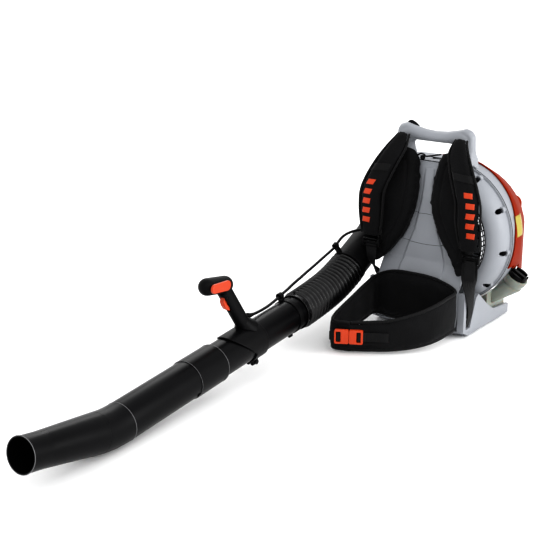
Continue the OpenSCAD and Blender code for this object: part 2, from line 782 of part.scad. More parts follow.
module handle_collar() {
    lug_s = 173;                       // station of the clamping lug
    band_s1 = 208;                     // front end of the collar below the grip
    color(dark) {
        difference() {
            union() {
                on_tube(collar_s0) cylinder(r = handle_r + 4, h = band_s1 - collar_s0);
                // tongue under the grip, its front edge cut on a slant
                difference() {
                    on_tube(collar_s0) cylinder(r = handle_r + 4, h = collar_s1 - collar_s0);
                    on_tube(band_s1 + 14) rotate([49, 0, 0]) translate([-60, -120, 0]) cube([120, 240, 90]);
                }
            }
            on_tube(0) cylinder(r = handle_r + 0.05, h = 400);
        }
        difference() {
            on_tube(lug_s - 11) translate([-9, -handle_r - 20, 0]) cube([18, 20, 22]);
            on_tube(0) cylinder(r = handle_r + 0.05, h = 400);
            on_tube(lug_s - 13) translate([-2, -handle_r - 22, 0]) cube([4, 19, 26]);
        }
        // bolt that closes the clamp
        on_tube(lug_s) translate([-13, -handle_r - 13, 0]) rotate([0, 90, 0]) {
            cylinder(r = 3, h = 26);
            translate([0, 0, 22]) cylinder(r = 6, h = 5);
        }
    }
}
// Frame of the grip: local Z up the shaft, local -Y on the trigger side
module grip_frame() {
    translate([tube_x, grip_y, grip_z]) rotate([grip_lean, 0, 0]) children();
}
module grip_form(e) {
    grip_frame() {
        translate([0, 0, e]) linear_extrude(grip_len) {
            for (y = [-3, 3]) translate([0, y]) circle(14.5 - e);
            translate([-14.5 + e, -3]) square([29 - 2 * e, 6]);
        }
        if (e == 0) translate([0, 0, -8]) cylinder(r1 = 30, r2 = 15, h = 28);
    }
    translate([tube_x, head_y0, head_z]) rotate([90 - head_rise, 0, 0]) capsule(head_r - e, head_len);
}
module grip_half(side) {
    color(dark) difference() {
        intersection() {
            grip_form(0);
            translate([side > 0 ? tube_x : tube_x - 60, -700, 0]) cube([60, 300, 300]);
        }
        grip_form(3.5);
        // the saddle stays clear of the tube and its collar
        on_tube(0) cylinder(r = handle_r + 4.05, h = 320);
        // slot for the trigger
        grip_frame() translate([-6.4, -30, trigger_s - 42]) cube([12.8, 26, 47]);
        rod_x(trigger_y, trigger_z, tube_x - 12, tube_x + 12, 2.6);
        rod_x(lever_y, lever_z, tube_x, tube_x + 40, 4 + pin_fit);
    }
}
module grip_shell_left() {
    grip_half(1);
}
module grip_shell_right() {
    grip_half(-1);
}
trigger_y = grip_y - trigger_s * sin(grip_lean) - 9 * cos(grip_lean);
trigger_z = grip_z + trigger_s * cos(grip_lean) - 9 * sin(grip_lean);
module throttle_trigger() {
    color(signal) {
        grip_frame() along_x(-5.6, 5.6) translate([0, trigger_s]) {
            translate([-9, 0]) circle(4);
            polygon([[-12, 3], [-21, -4], [-24, -14], [-23, -28], [-18, -37], [-14, -30], [-15, -16],
                [-5, -2], [-6, 3]]);
        }
        rod_x(trigger_y, trigger_z, tube_x - 11, tube_x + 11, 2.4);
    }
}
module setting_lever() {
    color(signal) {
        translate([lever_x, lever_y, lever_z]) rotate([90, 0, 90]) linear_extrude(5) {
            circle(11);
            translate([-44, 4]) circle(10);
            polygon([[0, 11], [-44, 14], [-44, -6], [0, -11]]);
        }
        rod_x(lever_y, lever_z, lever_x - 8, lever_x + 1, 4);
    }
}
module extension_tube() {
    color(dark) on_tube(extension_s0) difference() {
        union() {
            cylinder(r = extension_r, h = extension_len - fit);
            cylinder(r = extension_r + 1.9, h = 93);
            for (z = [8, 98]) rotate([0, 0, -35]) translate([extension_r - 1.5, 0, z]) rotate([0, 90, 0])
                cylinder(r = 4.5, h = 4);
        }
        translate([0, 0, -1]) cylinder(r = handle_r + fit, h = 112);
        translate([0, 0, 100]) cylinder(r = extension_r - tube_wall, h = 400);
    }
}
// Nozzle: a straight sleeve, a bend that lifts the tip, a taper and a round mouth
module nozzle() {
    turn = tube_slope + tip_pitch;
    spigot = 45;
    color(dark) on_tube(nozzle_s0) {
        translate([0, 0, -spigot]) pipe(extension_r - tube_wall - fit, spigot);
        pipe(extension_r + 0.2, 1, 2 * tube_wall + fit + 0.2);
        translate([0, nozzle_bend_r, 1]) {
            rotate([90, 0, -90]) rotate_extrude(angle = turn, $fn = 96)
                translate([nozzle_bend_r, 0]) difference() {
                    circle(extension_r + 0.2);
                    circle(extension_r + 0.2 - tube_wall);
                }
            rotate([-turn, 0, 0]) translate([0, -nozzle_bend_r, 0]) {
                taper(tip_len - rim_len);
                translate([0, 0, tip_len - rim_len]) pipe(mouth_r, rim_len);
                translate([0, 0, tip_len - 3]) pipe(mouth_r + 1, 3, 1.5);
            }
        }
    }
}
module taper(h) {
    r0 = extension_r + 0.2;
    difference() {
        cylinder(r1 = r0, r2 = mouth_r, h = h, $fn = 96);
        translate([0, 0, -eps])
            cylinder(r1 = r0 - tube_wall, r2 = mouth_r - tube_wall, h = h + 2 * eps, $fn = 96);
    }
}
module cable_pack() {
    color(dark) cable(cable_pack_route, cable_d);
}
module cable_hose() {
    color(dark) cable(cable_hose_route, cable_d);
}
module cable_tube() {
    color(dark) cable(cable_tube_route, cable_d);
}

// ---- Harness ----

// Front view of the right-hand pad, on the +X side
module pad_outline() {
    polygon([[60, 455], [34, 447], [20, 425], [14, 385], [13, 330], [20, 290], [36, 250], [52, 222],
        [74, 192], [96, 166], [112, 152], [124, 160], [137, 190], [143, 230], [144, 280], [142, 340],
        [133, 385], [112, 430], [86, 455]]);
}
module pad_form() {
    gap = 0.8;
    rear = [for (i = [1 : 5]) plate_front[i] - [gap + 5.5, 0]];
    intersection() {
        along_y(-120, 30) pad_outline();
        along_x(0, 200) polygon(concat([[-1, 458]], rear,
            [for (i = [4 : -1 : 0]) rear[i] - [pad_t - (i % 4 == 0 ? 8 : 0), 0]], [[-12, 458]]));
    }
}
module back_pad_right() {
    color(dark) pad_form();
}
module back_pad_left() {
    color(dark) difference() {
        mirror([1, 0, 0]) pad_form();
        box([-big, -200, 0], [-126, 100, 238]);
    }
}
strap_path = [[81, -3, 477, 30, 0], [82, -13, 468, 38, 0], [88, -30, 446, 54, 0], [102, -44, 416, 62, 0],
    [119, -55, 378, strap_w, 0], [132, -61, 340, strap_w, 0], [134, -62, 300, strap_w, 0],
    [137, -59, 262, 60, 0], [139, -54, 228, 50, 0]];
module shoulder_strap_right() {
    color(dark) ribbon(strap_path, strap_t);
}
module shoulder_strap_left() {
    color(dark) ribbon([for (s = strap_path) [-s[0] + (s[2] < 300 ? 12 : 10), s[1] - 2, s[2], s[3], 0]],
        strap_t);
}
module strap_webbing() {
    color(dark) {
        ribbon([[140, -52, 196, 40, 0], [139.5, -51, 165, 40, 25], [139, -42, 130, 36, 68],
            [135.5, -30, 100, 32, 84], [132, -20, 62, 26, 90], [126, -24.5, 28, 17, 90]], 3);
        ribbon([[-124, -59, 196, 30, 0], [-119.5, -64, 165, 26, -20], [-118.5, -53, 143, 24, -60],
            [-118.5, -26, 121, 22, -86], [-118.5, -25, 100, 22, -90], [-118.5, -24, 62, 20, -90],
            [-118.5, -24, 27, 20, -90]], 3);
    }
}
module strap_adjusters() {
    color(dark) for (p = [[140, -52], [-125, -57]]) translate([p[0], p[1], 208]) difference() {
        cube([48, 8, 20], center = true);
        for (z = [-5, 5]) translate([0, 0, z]) cube([38, 12, 5], center = true);
    }
}
belt_path = [[-48, -266, 6, 78], [-12, -248, 7, 81], [30, -225, 9, 86], [70, -194, 14, 99], [98, -156, 20, 112],
    [111, -110, 26, 122], [111, -63, 30, 130], [60, -63, 28, 150], [0, -63, 28, 154], [-60, -63, 28, 150],
    [-106, -63, 30, 130], [-109, -110, 26, 120], [-110, -160, 20, 106], [-110, -215, 14, 92],
    [-109, -255, 8, 80], [-94, -277, 6, 77], [-64, -274, 6, 77]];
module hip_belt() {
    color(dark) for (i = [0 : len(belt_path) - 2]) hull() for (s = [belt_path[i], belt_path[i + 1]])
        translate([s[0], s[1], s[2]]) cylinder(d = belt_t, h = s[3] - s[2], $fn = 20);
}
// Frame of the buckle: local X along the belt, local -Y outwards
module buckle_frame() {
    translate(buckle_at) rotate([0, 0, buckle_turn]) children();
}
module buckle_socket() {
    color(signal) buckle_frame() difference() {
        along_y(-21, -10) soft_rect(-34, -17, 0, 17, 4);
        box([-15, -18.5, -12], [1, -12.5, 12]);
        box([-30, -30, -12.5], [-19, 0, 12.5]);
    }
    color(dark) buckle_frame() box([-29, -17, -11], [-20, -14, 11]);
}
module buckle_plug() {
    color(signal) buckle_frame() {
        difference() {
            along_y(-21, -10) soft_rect(0.6, -17, 33, 17, 3.5);
            box([18, -30, -12.5], [28, 0, 12.5]);
        }
        for (z = [-11, 5]) box([-13, -18, z], [1, -13, z + 6]);
    }
}
module plug_webbing() {
    color(dark) buckle_frame() box([19, -17, -11], [27, -14, 11]);
    color(dark) buckle_frame() box([33.5, -14, -11], [92, -11.5, 11]);
}

backplate();
base_frame();
rubber_feet();
vibration_mounts();
intake_grille();
housing_front();
housing_rear();
housing_seal();
housing_screws();
crankcase();
cylinder_block();  // cylinder
spark_plug();
plug_boot();
muffler();
muffler_guard();
carburetor();
filter_element();
filter_cover();
engine_shroud();
starter_housing();
fuel_tank();
elbow();
hose_clamp_rear();
bellows_rear();
cable_pack();
back_pad_left();
back_pad_right();
shoulder_strap_left();
shoulder_strap_right();
strap_webbing();
strap_adjusters();
hip_belt();
buckle_socket();
bellows_front();
cable_hose();
hose_clamp_front();
handle_tube();
handle_collar();
grip_shell_left();
grip_shell_right();
cable_tube();
throttle_trigger();
setting_lever();
extension_tube();
nozzle();
impeller();
crankshaft();
flywheel();
piston();
connecting_rod();
starter_grip();
starter_rope();
starter_pulley();
choke_lever();
primer_bulb();
fuel_cap();
filter_knob();
buckle_plug();
plug_webbing();
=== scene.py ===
"""The looks of a backpack leaf blower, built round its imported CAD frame. Metres throughout."""
import math

import bmesh
import bpy
import numpy as np
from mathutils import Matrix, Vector, noise
from mathutils.bvhtree import BVHTree
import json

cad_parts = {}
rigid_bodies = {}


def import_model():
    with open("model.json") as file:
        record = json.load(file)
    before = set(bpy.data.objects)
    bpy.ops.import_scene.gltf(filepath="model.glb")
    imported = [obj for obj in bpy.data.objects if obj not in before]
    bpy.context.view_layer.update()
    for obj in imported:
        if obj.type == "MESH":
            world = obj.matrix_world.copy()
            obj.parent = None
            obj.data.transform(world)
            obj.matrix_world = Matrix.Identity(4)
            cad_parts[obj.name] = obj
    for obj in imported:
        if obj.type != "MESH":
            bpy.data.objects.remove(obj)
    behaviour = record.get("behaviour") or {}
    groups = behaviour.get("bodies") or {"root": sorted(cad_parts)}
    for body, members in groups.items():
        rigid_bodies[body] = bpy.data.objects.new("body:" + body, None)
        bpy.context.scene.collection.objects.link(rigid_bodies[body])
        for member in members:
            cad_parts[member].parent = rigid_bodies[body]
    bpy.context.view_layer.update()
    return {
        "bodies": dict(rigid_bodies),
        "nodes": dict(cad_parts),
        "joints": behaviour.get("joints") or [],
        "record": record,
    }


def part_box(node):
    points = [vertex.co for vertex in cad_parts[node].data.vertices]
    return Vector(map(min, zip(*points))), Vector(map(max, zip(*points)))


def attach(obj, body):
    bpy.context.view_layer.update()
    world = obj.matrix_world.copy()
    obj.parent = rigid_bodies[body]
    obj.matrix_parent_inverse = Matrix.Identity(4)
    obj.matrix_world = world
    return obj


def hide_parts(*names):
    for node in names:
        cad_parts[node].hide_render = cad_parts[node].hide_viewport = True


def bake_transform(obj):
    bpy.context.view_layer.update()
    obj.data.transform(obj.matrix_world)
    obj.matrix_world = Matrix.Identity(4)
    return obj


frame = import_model()
NODES = frame["nodes"]
BODIES = frame["record"]["behaviour"]["bodies"]
BODY_OF = {node: body for body, members in BODIES.items() for node in members}
SLOT_OF = {part["node"]: part["material_slot"] for part in frame["record"]["subparts"]}

# ---- Camera, lights and floor ----

CAMERA_AT = Vector((1.3256, -2.5805, 1.0509))
LOOK_AT = Vector((-0.173, -0.400, 0.2014))
LENS = 79.82
SENSOR = 36


def aim(o, target):
    """Turns a camera or a lamp at a point."""
    o.rotation_euler = (Vector(target) - o.location).to_track_quat("-Z", "Y").to_euler()


def make_camera():
    data = bpy.data.cameras.new("camera")
    data.lens = LENS
    data.sensor_width = SENSOR
    data.clip_end = 50
    camera = bpy.data.objects.new("camera", data)
    camera.location = CAMERA_AT
    bpy.context.collection.objects.link(camera)
    aim(camera, LOOK_AT)
    bpy.context.scene.camera = camera


def area_light(name, at, target, size, power):
    data = bpy.data.lights.new(name, "AREA")
    data.shape = "RECTANGLE"
    data.size, data.size_y = size
    data.energy = power
    lamp = bpy.data.objects.new(name, data)
    lamp.location = at
    bpy.context.collection.objects.link(lamp)
    aim(lamp, target)


def make_stage():
    scene = bpy.context.scene
    scene.view_settings.view_transform = "Standard"
    scene.view_settings.look = "High Contrast"
    world = bpy.data.worlds.new("studio")
    world.use_nodes = True
    sky = world.node_tree.nodes["Background"]
    sky.inputs["Color"].default_value = (1.0, 1.0, 1.0, 1)
    sky.inputs["Strength"].default_value = 1.0
    scene.world = world
    centre = (-0.05, -0.4, 0.2)
    area_light("key", (1.2, -1.9, 2.2), centre, (1.4, 1.4), 10)
    area_light("side", (2.4, 0.3, 1.0), centre, (0.8, 1.6), 34)
    area_light("rear", (-1.8, 1.4, 1.9), centre, (1.2, 1.2), 10)
    bpy.ops.mesh.primitive_plane_add(size=30, location=(0, 0, -0.0006))
    floor = bpy.context.object
    floor.name = "floor"
    floor.data.materials.append(plain("floor_white", (0.93, 0.93, 0.93), 0.9))


# ---- Materials ----


def shader(name):
    """A new material, with its Principled shader and a function that adds nodes."""
    material = bpy.data.materials.new(name)
    material.use_nodes = True
    tree = material.node_tree
    surface = tree.nodes["Principled BSDF"]

    def add(kind, **settings):
        made = tree.nodes.new(kind)
        for key, value in settings.items():
            if key in made.inputs:
                made.inputs[key].default_value = value
            else:
                setattr(made, key, value)
        return made

    return material, surface, add, tree.links.new


def plain(name, colour, roughness):
    material, surface, _, _ = shader(name)
    surface.inputs["Base Color"].default_value = (*colour, 1)
    surface.inputs["Roughness"].default_value = roughness
    return material


def plastic(name, colour, roughness=0.45, grain=900, depth=0.0006, vary=0.12, specular=0.5):
    """Moulded plastic: a fine grain in the surface, and slow changes of tone and gloss."""
    material, surface, add, link = shader(name)
    place = add("ShaderNodeTexCoord")
    slow = add("ShaderNodeTexNoise", Scale=9.0, Detail=3.0)
    fine = add("ShaderNodeTexNoise", Scale=float(grain), Detail=2.0)
    link(place.outputs["Object"], slow.inputs["Vector"])
    link(place.outputs["Object"], fine.inputs["Vector"])
    tone = add("ShaderNodeValToRGB")
    tone.color_ramp.elements[0].position = 0.3
    tone.color_ramp.elements[1].position = 0.7
    tone.color_ramp.elements[0].color = (*[c * (1 - vary) for c in colour], 1)
    tone.color_ramp.elements[1].color = (*[min(1, c * (1 + vary)) for c in colour], 1)
    link(slow.outputs["Fac"], tone.inputs["Fac"])
    link(tone.outputs["Color"], surface.inputs["Base Color"])
    gloss = add("ShaderNodeMapRange")
    gloss.inputs["To Min"].default_value = roughness - 0.06
    gloss.inputs["To Max"].default_value = roughness + 0.08
    link(slow.outputs["Fac"], gloss.inputs["Value"])
    link(gloss.outputs["Result"], surface.inputs["Roughness"])
    bump = add("ShaderNodeBump", Strength=0.35, Distance=depth)
    link(fine.outputs["Fac"], bump.inputs["Height"])
    link(bump.outputs["Normal"], surface.inputs["Normal"])
    surface.inputs["Specular IOR Level"].default_value = specular
    return material


def woven(name, colour, pitch=0.0012, roughness=0.85, depth=0.0004, sheen=0.25):
    """Woven cloth: two crossed sets of threads, with a slow change of tone."""
    material, surface, add, link = shader(name)
    place = add("ShaderNodeTexCoord")
    threads = []
    for direction in ("X", "Y", "Z"):
        wave = add("ShaderNodeTexWave", Scale=1 / pitch / 6.28, Distortion=0.6, Detail=1.0)
        wave.bands_direction = direction
        link(place.outputs["Object"], wave.inputs["Vector"])
        threads.append(wave)
    first = add("ShaderNodeMath", operation="MULTIPLY")
    link(threads[0].outputs["Fac"], first.inputs[0])
    link(threads[2].outputs["Fac"], first.inputs[1])
    height = add("ShaderNodeMath", operation="ADD")
    link(first.outputs["Value"], height.inputs[0])
    link(threads[1].outputs["Fac"], height.inputs[1])
    bump = add("ShaderNodeBump", Strength=0.5, Distance=depth)
    link(height.outputs["Value"], bump.inputs["Height"])
    link(bump.outputs["Normal"], surface.inputs["Normal"])
    slow = add("ShaderNodeTexNoise", Scale=22.0, Detail=5.0)
    link(place.outputs["Object"], slow.inputs["Vector"])
    tone = add("ShaderNodeValToRGB")
    tone.color_ramp.elements[0].position = 0.35
    tone.color_ramp.elements[1].position = 0.68
    tone.color_ramp.elements[0].color = (*[c * 0.75 for c in colour], 1)
    tone.color_ramp.elements[1].color = (*[min(1, c * 1.35) for c in colour], 1)
    link(slow.outputs["Fac"], tone.inputs["Fac"])
    link(tone.outputs["Color"], surface.inputs["Base Color"])
    surface.inputs["Roughness"].default_value = roughness
    surface.inputs["Sheen Weight"].default_value = sheen
    surface.inputs["Sheen Roughness"].default_value = 0.4
    surface.inputs["Specular IOR Level"].default_value = 0.25
    return material


def cast_metal(name, colour, roughness):
    """Metal with the coarse, shallow grain of a casting."""
    material = plastic(name, colour, roughness, 300, 0.0008, 0.1)
    material.node_tree.nodes["Principled BSDF"].inputs["Metallic"].default_value = 0.9
    return material


def translucent(name, colour):
    """Milky plastic that lets some light in."""
    material = plastic(name, colour, 0.38, 500, 0.0004, 0.06)
    surface = material.node_tree.nodes["Principled BSDF"]
    surface.inputs["Subsurface Weight"].default_value = 0.35
    surface.inputs["Subsurface Scale"].default_value = 0.01
    return material


BLACK = (0.0045, 0.0045, 0.005)
DEEP_BLACK = (0.0030, 0.0030, 0.0036)
ORANGE = (0.46, 0.045, 0.006)
MATERIALS = {
    "shell_grey": plastic("shell_grey", (0.25, 0.26, 0.28), 0.46, 1100, 0.0003, 0.05, specular=0.35),
    "black_plastic": plastic("black_plastic", BLACK, 0.42, 900, 0.0004, 0.15, specular=0.12),
    "tube_plastic": plastic("tube_plastic", DEEP_BLACK, 0.30, 700, 0.0002, 0.15, specular=0.12),
    "grip_plastic": plastic("grip_plastic", BLACK, 0.48, 1200, 0.0005, 0.15, specular=0.12),
    "orange_plastic": plastic("orange_plastic", ORANGE, 0.40, 900, 0.0002, 0.06, specular=0.4),
    "tank_plastic": translucent("tank_plastic", (0.21, 0.225, 0.195)),
    "rubber": plastic("rubber", (0.006, 0.006, 0.006), 0.65, 800, 0.0005, specular=0.12),
    "hose_rubber": plastic("hose_rubber", (0.0040, 0.0040, 0.0045), 0.26, 800, 0.0002, specular=0.5),
    "cable_sheath": plastic("cable_sheath", (0.004, 0.004, 0.0045), 0.35, 800, 0.0002, specular=0.25),
    "pad_fabric": woven("pad_fabric", (0.0034, 0.0034, 0.0040), 0.0014, sheen=0.06),
    "webbing": woven("webbing", BLACK, 0.0022, 0.7, 0.0006, sheen=0.08),
    "rope": woven("rope", (0.5, 0.5, 0.46), 0.0016, 0.8, 0.0004),
    "screw_steel": cast_metal("screw_steel", (0.03, 0.03, 0.033), 0.35),
    "steel": cast_metal("steel", (0.42, 0.42, 0.43), 0.32),
    "cast_alloy": cast_metal("cast_alloy", (0.5, 0.51, 0.52), 0.45),
    "filter_felt": woven("filter_felt", (0.5, 0.4, 0.24), 0.0016),
}
# finishes of single pieces, beside the slot that each stands for
# the shroud's orange made darker than the orange slot: the darkening is painted shade
SHROUD_ORANGE_PAINTED_SHADE = plastic("shroud_orange_painted_shade", (0.2, 0.016, 0.001), 0.5, 900, 0.0002, 0.06, specular=0.04)
# near white: painted light showing through the grille's slots
LIP_PAINTED_LIGHT = plastic("lip_painted_light", (0.7, 0.71, 0.73), 0.5, 900, 0.0002, 0.04, specular=0.3)
# lighter grey on the black tube: painted highlight on the beads and the mouth's edge
EDGE_PAINTED_HIGHLIGHT = plastic("edge_painted_highlight", (0.16, 0.16, 0.165), 0.25, 400, 0.0002, 0.3, specular=0.5)
STICKER_YELLOW = plastic("sticker_yellow", (0.3, 0.25, 0.03), 0.4, 600, 0.0001, 0.04)


def paint(o, slot):
    """Gives a piece the one material of its slot."""
    o.data.materials.clear()
    o.data.materials.append(MATERIALS[slot])


EDGE_WIDTH = 0.0006                      # of the rounding on CAD edges
WELD_GAP = 0.00002


def finish_cad(node):
    """Smooth faces with small rounded edges on a CAD node that is shown."""
    o = NODES[node]
    paint(o, SLOT_OF[node])
    o.data.polygons.foreach_set("use_smooth", [True] * len(o.data.polygons))
    weld = o.modifiers.new("weld", "WELD")
    weld.merge_threshold = WELD_GAP
    bevel = o.modifiers.new("bevel", "BEVEL")
    bevel.width = EDGE_WIDTH
    bevel.segments = 2
    bevel.limit_method = "ANGLE"
    bevel.angle_limit = math.radians(35)
    o.modifiers.new("normals", "WEIGHTED_NORMAL")


# ---- Mesh builders ----

MM = 0.001
FAN_Z = 223                              # height of the fan's and engine's axis, in millimetres


def mm(x, y, z):
    return Vector((x, y, z)) * MM


def smooth_line(points, per=8):
    """Points along a Catmull-Rom curve through the given points, per steps between each pair."""
    p = [np.array(v, float) for v in points]
    p = [2 * p[0] - p[1]] + p + [2 * p[-1] - p[-2]]
    line = []
    for i in range(1, len(p) - 2):
        for t in np.arange(per) / per:
            line.append(0.5 * (2 * p[i] + (p[i + 1] - p[i - 1]) * t
                        + (2 * p[i - 1] - 5 * p[i] + 4 * p[i + 1] - p[i + 2]) * t ** 2
                        + (3 * p[i] - p[i - 1] - 3 * p[i + 1] + p[i + 2]) * t ** 3))
    return line + [p[-2]]


def loft(rings, round_trip=False):
    """Vertices and faces of a skin over rings of equal counts, closed by end caps or joined end to end."""
    n, spans = len(rings[0]), len(rings) - (0 if round_trip else 1)
    faces = []
    for i in range(spans):
        j = (i + 1) % len(rings)
        faces += [(i * n + k, i * n + (k + 1) % n, j * n + (k + 1) % n, j * n + k) for k in range(n)]
    if not round_trip:
        last = (len(rings) - 1) * n
        faces += [tuple(reversed(range(n))), tuple(range(last, last + n))]
    return [tuple(p) for ring in rings for p in ring], faces


def make(name, verts, faces, slot, body=None, replaced=()):
    """A smooth-shaded closed piece with its finish, riding on a body."""
    mesh = bpy.data.meshes.new(name)
    mesh.from_pydata([tuple(v) for v in verts], [], faces)
    work = bmesh.new()
    work.from_mesh(mesh)
    bmesh.ops.recalc_face_normals(work, faces=work.faces)
    work.to_mesh(mesh)
    work.free()
    o = bpy.data.objects.new(name, mesh)
    bpy.context.collection.objects.link(o)
    finish(o, slot, body, replaced)
    return o


def finish(o, slot, body=None, replaced=()):
    o.data.polygons.foreach_set("use_smooth", [True] * len(o.data.polygons))
    paint(o, slot)
    if body:
        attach(o, body)
    if replaced:
        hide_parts(*replaced)


def bake(o):
    """Applies every modifier of a piece."""
    deps = bpy.context.evaluated_depsgraph_get()
    baked = bpy.data.meshes.new_from_object(o.evaluated_get(deps))
    o.modifiers.clear()
    o.data = baked


def tube(name, line, radius, slot, body=None, sides=16, replaced=(), round_trip=False, squeeze=1.0):
    """A round bar or cord along a line. radius may be a number or one for each point."""
    line = [np.array(p, float) for p in line]
    radii = radius if hasattr(radius, "__len__") else [radius] * len(line)
    side = None
    rings = []
    for i, p in enumerate(line):
        if round_trip:
            along = line[(i + 1) % len(line)] - line[i - 1]
        else:
            along = line[min(i + 1, len(line) - 1)] - line[max(i - 1, 0)]
        along = along / np.linalg.norm(along)
        if side is None:
            side = np.cross(along, (0, 0, 1) if abs(along[2]) < 0.9 else (1, 0, 0))
        side = side - along * np.dot(side, along)
        side = side / np.linalg.norm(side)
        up = np.cross(side, along)
        rings.append([p + radii[i] * (math.cos(a) * side + squeeze * math.sin(a) * up)
                      for a in np.linspace(0, math.tau, sides, endpoint=False)])
    return make(name, *loft(rings, round_trip), slot, body, replaced)


def moulded(name, nodes, slot, body, voxel, rounds, keep, extra=()):
    """One moulded piece made from CAD nodes, with softened edges and filled joints.

    rounds is how often it is smoothed, and keep the share of its faces that stay. extra holds loose objects.
    """
    work = bmesh.new()
    for node in nodes:
        work.from_mesh(NODES[node].data)
    for source in extra:
        work.from_mesh(source.data)
        bpy.data.objects.remove(source)
    mesh = bpy.data.meshes.new(name)
    work.to_mesh(mesh)
    work.free()
    o = bpy.data.objects.new(name, mesh)
    bpy.context.collection.objects.link(o)
    remesh = o.modifiers.new("remesh", "REMESH")
    remesh.mode = "VOXEL"
    remesh.voxel_size = voxel
    remesh.use_smooth_shade = True
    bake(o)
    soft = o.modifiers.new("soft", "SMOOTH")
    soft.iterations = rounds
    soft.factor = 0.5
    thin = o.modifiers.new("thin", "DECIMATE")
    thin.ratio = keep
    bake(o)
    finish(o, slot, body, [n for n in nodes if BODY_OF[n] == body])
    return o


def inflate(o, voxel=0.0045, cap=0.006, held=None):
    """Sewn and stuffed: a piece swells under pressure, as cloth, by no more than cap.

    held(x, y, z) says how freely a point moves: 0 stays, 1 is free.
    """
    remesh = o.modifiers.new("remesh", "REMESH")
    remesh.mode = "VOXEL"
    remesh.voxel_size = voxel
    bake(o)
    rest = np.array([v.co[:] for v in o.data.vertices])
    cloth = o.modifiers.new("cloth", "CLOTH")
    cloth.settings.quality = 5
    cloth.settings.use_pressure = True
    cloth.settings.uniform_pressure_force = 4.0
    cloth.settings.effector_weights.gravity = 0.0
    cloth.settings.bending_stiffness = 0.5
    scene = bpy.context.scene
    for step in range(1, 21):
        scene.frame_set(step)
    deps = bpy.context.evaluated_depsgraph_get()
    grown = np.array([v.co[:] for v in o.evaluated_get(deps).data.vertices])
    o.modifiers.clear()
    scene.frame_set(1)
    move = grown - rest
    far = np.linalg.norm(move, axis=1, keepdims=True)
    rest = rest + move * np.minimum(1, cap / np.maximum(far, 1e-9)) * (
        np.array([[held(*co)] for co in rest]) if held else 1)
    o.data.vertices.foreach_set("co", rest.ravel())
    sub = o.modifiers.new("sub", "SUBSURF")
    sub.levels = sub.render_levels = 1
    bake(o)


def groove(o, lines, depth, width, normal, flat):
    """Sewn channels: presses a piece in along lines. flat picks the two axes that distance is measured in."""
    co = np.array([v.co[:] for v in o.data.vertices])
    nearest = np.full(len(co), 9.0)
    for line in lines:
        pts = np.array(line)[:, flat]
        for a, b in zip(pts[:-1], pts[1:]):
            along = b - a
            t = np.clip(((co[:, flat] - a) @ along) / max(along @ along, 1e-12), 0, 1)
            nearest = np.minimum(nearest, np.linalg.norm(co[:, flat] - (a + t[:, None] * along), axis=1))
    normals = np.array([v.normal[:] for v in o.data.vertices])
    facing = np.clip(normals @ np.array(normal), 0, 1)
    press = depth * np.exp(-(nearest / width) ** 2) * facing
    co -= normals * np.reshape(press, (-1, 1))
    o.data.vertices.foreach_set("co", co.ravel())
    o.data.update()


def ripple(o, size, depth, seed=0):
    """Slow random unevenness, as hand-sewn cloth has."""
    shift = Vector((seed * 7.3, seed * 3.1, seed * 5.7))
    co = np.array([v.co[:] for v in o.data.vertices])
    normals = np.array([v.normal[:] for v in o.data.vertices])
    rise = [depth * noise.noise(Vector(p) / size + shift) for p in co]
    co += normals * np.reshape(rise, (-1, 1))
    o.data.vertices.foreach_set("co", co.ravel())
    o.data.update()


def tree_of(*objects):
    work = bmesh.new()
    for o in objects:
        work.from_mesh(o.data)
    tree = BVHTree.FromBMesh(work)
    work.free()
    return tree


def patch(name, tree, centre, right, up, size, slot, body, thick=0.0006, steps=(12, 6), shape=None):
    """A thin piece laid on a surface: a grid about centre, thrown onto the surface along its back."""
    right, up = Vector(right).normalized(), Vector(up).normalized()
    out = right.cross(up).normalized()
    nu, nv = steps
    front, back = [], []
    for j in range(nv + 1):
        for i in range(nu + 1):
            u, v = (i / nu - 0.5) * size[0], (j / nv - 0.5) * size[1]
            if shape:
                u, v = shape(u, v)
            start = Vector(centre) + right * u + up * v + out * 0.05
            hit, normal, _, _ = tree.ray_cast(start, -out, 0.1)
            if hit is None:
                hit, normal = Vector(centre) + right * u + up * v, out
            front.append(hit + normal * thick)
            back.append(hit - normal * thick)
    n = len(front)
    faces = []
    for j in range(nv):
        for i in range(nu):
            a = j * (nu + 1) + i
            quad = (a, a + 1, a + nu + 2, a + nu + 1)
            faces += [quad, tuple(n + q for q in reversed(quad))]
    row = nu + 1
    rim = (list(range(row)) + [row * j + nu for j in range(1, nv + 1)]
           + [row * nv + i for i in range(nu - 1, -1, -1)] + [row * j for j in range(nv - 1, 0, -1)])
    for a, b in zip(rim, rim[1:] + rim[:1]):
        faces.append((b, a, n + a, n + b))
    return make(name, front + back, faces, slot, body)


def strap(name, stations, thick, slot, body, per=8, sides=24, edge=0.5, crown=0.0, replaced=()):
    """A flat strap through stations (x, y, z, width, turn) in millimetres, its width turned about Z."""
    rows = smooth_line(stations, per)
    rings = []
    for i, row in enumerate(rows):
        along = Vector(rows[min(i + 1, len(rows) - 1)][:3] - rows[max(i - 1, 0)][:3]).normalized()
        turn = math.radians(row[4])
        wide = Vector((math.cos(turn), math.sin(turn), 0))
        wide = (wide - along * wide.dot(along)).normalized()
        out = along.cross(wide).normalized()
        centre, half = mm(*row[:3]), row[3] / 2 * MM
        ring = []
        for a in np.linspace(0, math.tau, sides, endpoint=False):
            c, s = math.cos(a), math.sin(a)
            u = math.copysign(abs(c) ** edge, c)
            w = math.copysign(abs(s) ** edge, s)
            ring.append(centre + wide * half * u + out * thick * MM / 2 * w * (1 + crown * (1 - u * u)))
        rings.append(ring)
    return make(name, *loft(rings), slot, body, replaced)


# ---- Hose and cables ----

TUBE_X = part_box("bellows_rear")[0].x / 2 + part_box("bellows_rear")[1].x / 2
ROOT_END = Vector((TUBE_X, -0.08597, 0.14111))
MIDDLE = Vector((TUBE_X, -0.20261, 0.10656))
TUBE_END = Vector((TUBE_X, -0.32373, 0.09212))
